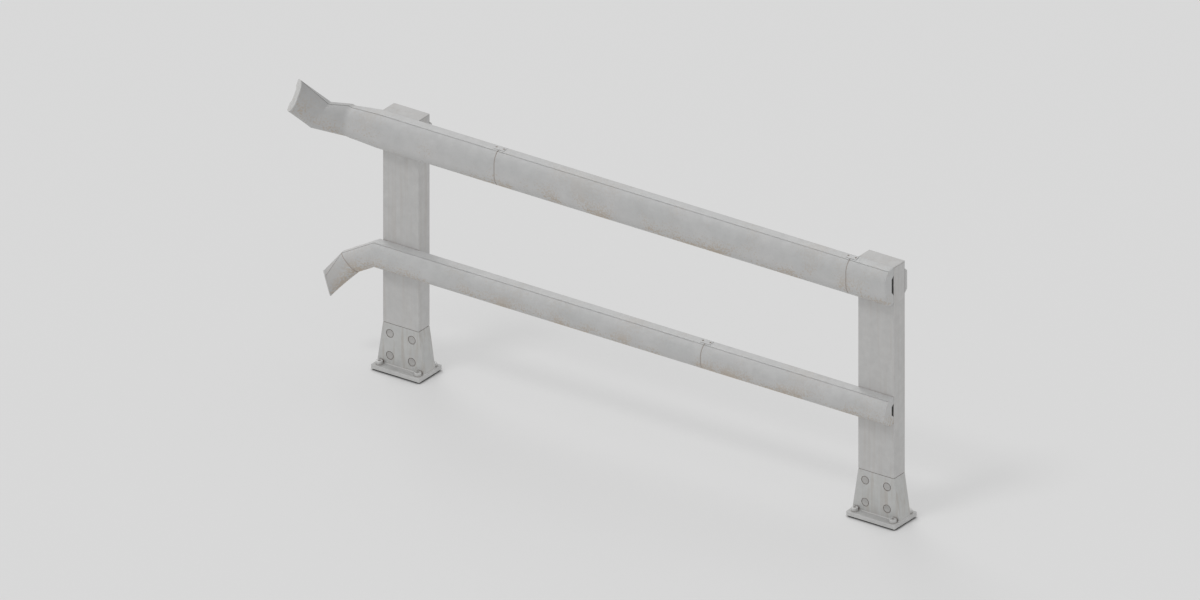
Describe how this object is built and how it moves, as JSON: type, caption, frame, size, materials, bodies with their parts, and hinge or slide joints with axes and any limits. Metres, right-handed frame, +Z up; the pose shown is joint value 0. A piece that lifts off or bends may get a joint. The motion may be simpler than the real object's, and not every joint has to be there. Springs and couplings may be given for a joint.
{
  "type": "tubular guard rail",
  "caption": "Roadside guard rail: hollow formed rails, bent and twisted at one end, on box posts that stand on tapered shoes and bolted base plates.",
  "frame": {"origin": "ground level, in the middle of the left foot's bearing face", "axes": "+X along the rails from the left post to the right one, +Y from the rails towards the back of the posts, +Z up"},
  "size_m": [2.485, 0.2557, 1.0725],
  "materials": {
    "rail_steel": "hot-dip galvanised, weathered matte grey with faint brown specks",
    "post_steel": "hot-dip galvanised, weathered matte grey with faint vertical streaks",
    "inner_steel": "galvanised, dull, hidden inside",
    "fasteners": "zinc plated, satin",
    "bedding": "matte dark rubber"
  },
  "bodies": {
    "root": {"upper_rail_left": "rail_steel", "upper_rail_middle": "rail_steel", "upper_rail_right": "rail_steel", "upper_splice_left": "inner_steel", "upper_splice_right": "inner_steel", "upper_end_cap_left": "rail_steel", "upper_end_cap_right": "rail_steel", "lower_rail_tip": "rail_steel", "lower_tip_joint": "inner_steel", "lower_rail_left": "rail_steel", "lower_rail_right": "rail_steel", "lower_splice": "inner_steel", "lower_end_cap_left": "rail_steel", "lower_end_cap_right": "rail_steel", "splice_screws": "fasteners", "joint_strap_upper_left": "rail_steel", "joint_strap_upper_right": "rail_steel", "joint_strap_lower": "rail_steel", "post_left": "post_steel", "post_right": "post_steel", "post_cap_left": "post_steel", "post_cap_right": "post_steel", "back_block_left": "post_steel", "back_block_right": "post_steel", "rail_key_upper_left": "bedding", "rail_key_upper_right": "bedding", "rail_key_lower_left": "bedding", "rail_key_lower_right": "bedding", "nut_bar_upper_left": "inner_steel", "nut_bar_upper_right": "inner_steel", "nut_bar_lower_left": "inner_steel", "nut_bar_lower_right": "inner_steel", "rail_bolts_upper_left": "fasteners", "rail_bolts_upper_right": "fasteners", "rail_bolts_lower_left": "fasteners", "rail_bolts_lower_right": "fasteners", "spacer_tubes_left": "inner_steel", "spacer_tubes_right": "inner_steel", "foot_left": "post_steel", "foot_right": "post_steel", "foot_spigot_left": "inner_steel", "foot_spigot_right": "inner_steel", "foot_screws_left": "fasteners", "foot_screws_right": "fasteners", "base_plate_left": "post_steel", "base_plate_right": "post_steel", "anchor_bolts_left": "fasteners", "anchor_bolts_right": "fasteners", "bedding_pad_left": "bedding", "bedding_pad_right": "bedding"}
  },
  "joints": []
}
